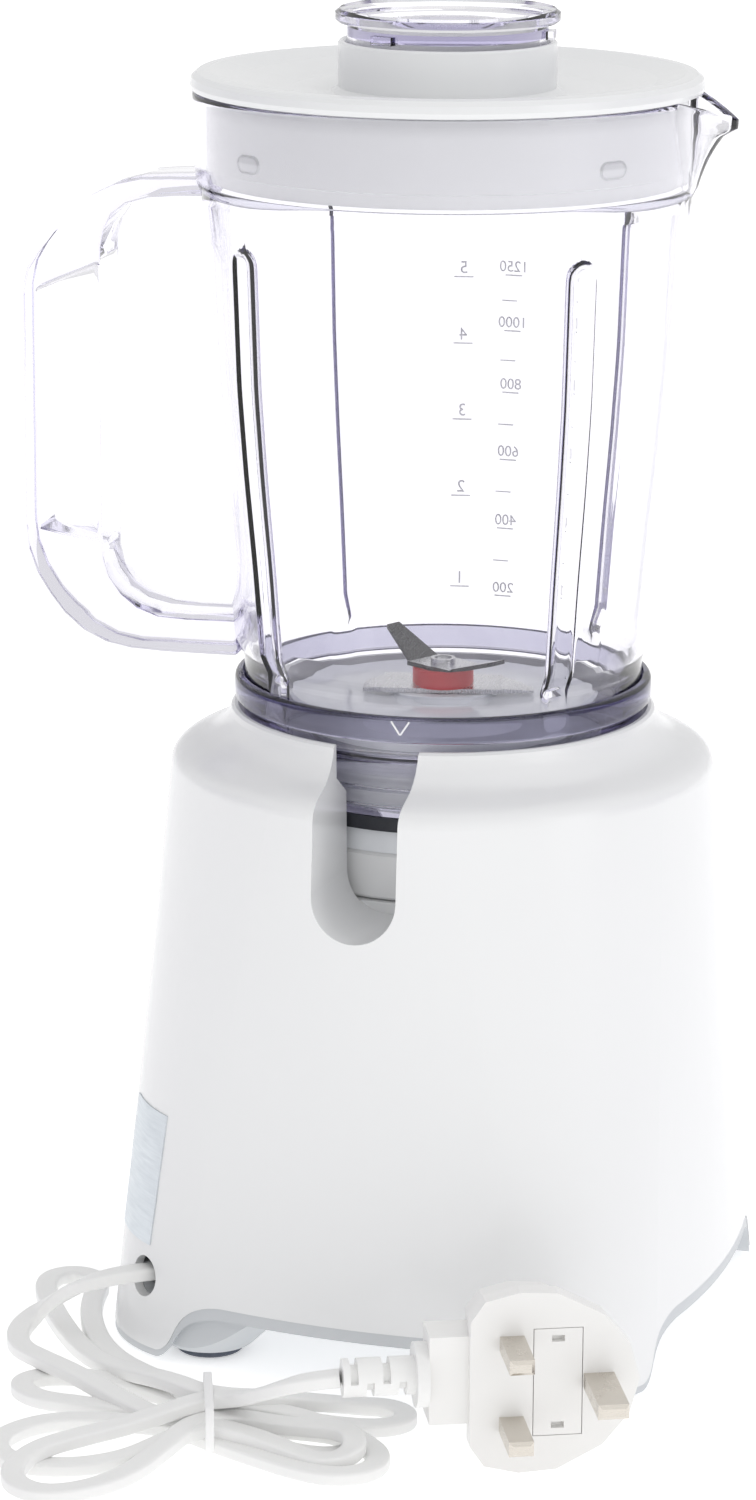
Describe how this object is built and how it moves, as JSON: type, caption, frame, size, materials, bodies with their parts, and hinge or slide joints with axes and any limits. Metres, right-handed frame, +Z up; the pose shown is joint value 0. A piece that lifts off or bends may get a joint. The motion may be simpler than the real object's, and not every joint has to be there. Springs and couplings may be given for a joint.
{
  "type": "countertop blender",
  "caption": "Countertop blender with tapered motor base, clear handled jar, dished lid, measuring cap, removable blade unit and flat mains lead tied in a hank.",
  "frame": {"origin": "on the motor axis, in the plane that the rubber feet stand on", "axes": "+Z up along the motor axis; the knob faces -Y, the neck slot and the lead +Y; the jar's handle is near +X and its spout near -X"},
  "size_m": [0.2087, 0.2818, 0.363],
  "materials": {
    "white_shell": "glossy white ABS",
    "grey_trim": "light grey, satin",
    "rubber_pad": "dark blue-grey, matt",
    "steel": "machined",
    "blade_steel": "ground stainless",
    "label_foil": "plain silver-grey foil, no print",
    "black_plastic": "moulded black",
    "lamination": "varnished steel sheet stack",
    "copper": "enamelled copper",
    "brass": "machined",
    "carbon": "pressed carbon",
    "cast_aluminium": "die cast",
    "clear_plastic": "clear styrene acrylonitrile with a faint violet edge",
    "dark_seal": "soft seal",
    "pale_grey_plastic": "light grey moulding",
    "red_plastic": "red spacer",
    "white_lead": "soft white PVC",
    "white_tie": "white polythene",
    "white_plug": "satin white PVC",
    "plated_pin": "warm nickel plate"
  },
  "bodies": {
    "base": {"motor_housing": "white_shell", "bottom_cover": "grey_trim", "rubber_feet": "rubber_pad", "cover_screws": "steel", "rating_label": "label_foil", "knob_bezel": "grey_trim", "selector_switch": "black_plastic", "stator_core": "lamination", "field_coils": "copper", "motor_bracket_upper": "cast_aluminium", "motor_bracket_lower": "cast_aluminium", "bracket_screws": "steel", "bearing_upper": "steel", "bearing_lower": "steel", "brush_holders": "brass", "carbon_brushes": "carbon", "motor_dampers": "rubber_pad", "motor_carrier": "steel", "cord_clamp": "black_plastic", "cord_lead": "white_lead", "cord_hank": "white_lead", "cord_tail": "white_lead", "cord_tie": "white_tie", "plug_body": "white_plug", "plug_fuse_cover": "white_plug", "plug_pins": "plated_pin", "plug_earth_pin": "plated_pin", "plug_strain_relief": "white_plug"},
    "knob": {"speed_knob": "grey_trim", "switch_spindle": "steel"},
    "rotor": {"armature_shaft": "steel", "armature_core": "lamination", "armature_windings": "copper", "commutator": "copper", "cooling_fan": "black_plastic", "drive_coupling": "black_plastic"},
    "jar": {"jar_body": "clear_plastic", "jar_gasket": "dark_seal"},
    "blade_unit": {"blade_holder": "pale_grey_plastic", "blade_collar": "white_shell", "spindle_bush": "brass", "spindle_seal": "dark_seal"},
    "blades": {"blade_spindle": "steel", "upper_blade": "blade_steel", "lower_blade": "blade_steel", "blade_spacer": "red_plastic", "blade_nut": "steel", "driven_coupling": "black_plastic"},
    "lid": {"lid": "white_shell"},
    "cap": {"measuring_cap": "clear_plastic"}
  },
  "joints": [
    {"name": "knob_turn", "type": "hinge", "parent": "base", "child": "knob", "pos_m": [0, -0.09, 0.066], "axis": [0, -1, 0], "range_deg": [-80, 45]},
    {"name": "motor_spin", "type": "hinge", "parent": "base", "child": "rotor", "pos_m": [0, 0, 0.08], "axis": [0, 0, 1], "continuous": true},
    {"name": "jar_lift", "type": "slide", "parent": "base", "child": "jar", "axis": [0, 0, 1], "range_m": [0, 0.12]},
    {"name": "collar_turn", "type": "hinge", "parent": "jar", "child": "blade_unit", "pos_m": [0, 0, 0.15], "axis": [0, 0, 1], "range_deg": [0, 45]},
    {"name": "blade_spin", "type": "hinge", "parent": "blade_unit", "child": "blades", "pos_m": [0, 0, 0.16], "axis": [0, 0, 1], "continuous": true},
    {"name": "lid_lift", "type": "slide", "parent": "jar", "child": "lid", "axis": [0, 0, 1], "range_m": [0, 0.08]},
    {"name": "cap_lift", "type": "slide", "parent": "lid", "child": "cap", "axis": [0, 0, 1], "range_m": [0, 0.05]}
  ],
  "couplings": [
    {"joint": "blade_spin", "follows": "motor_spin", "ratio": 1}
  ]
}
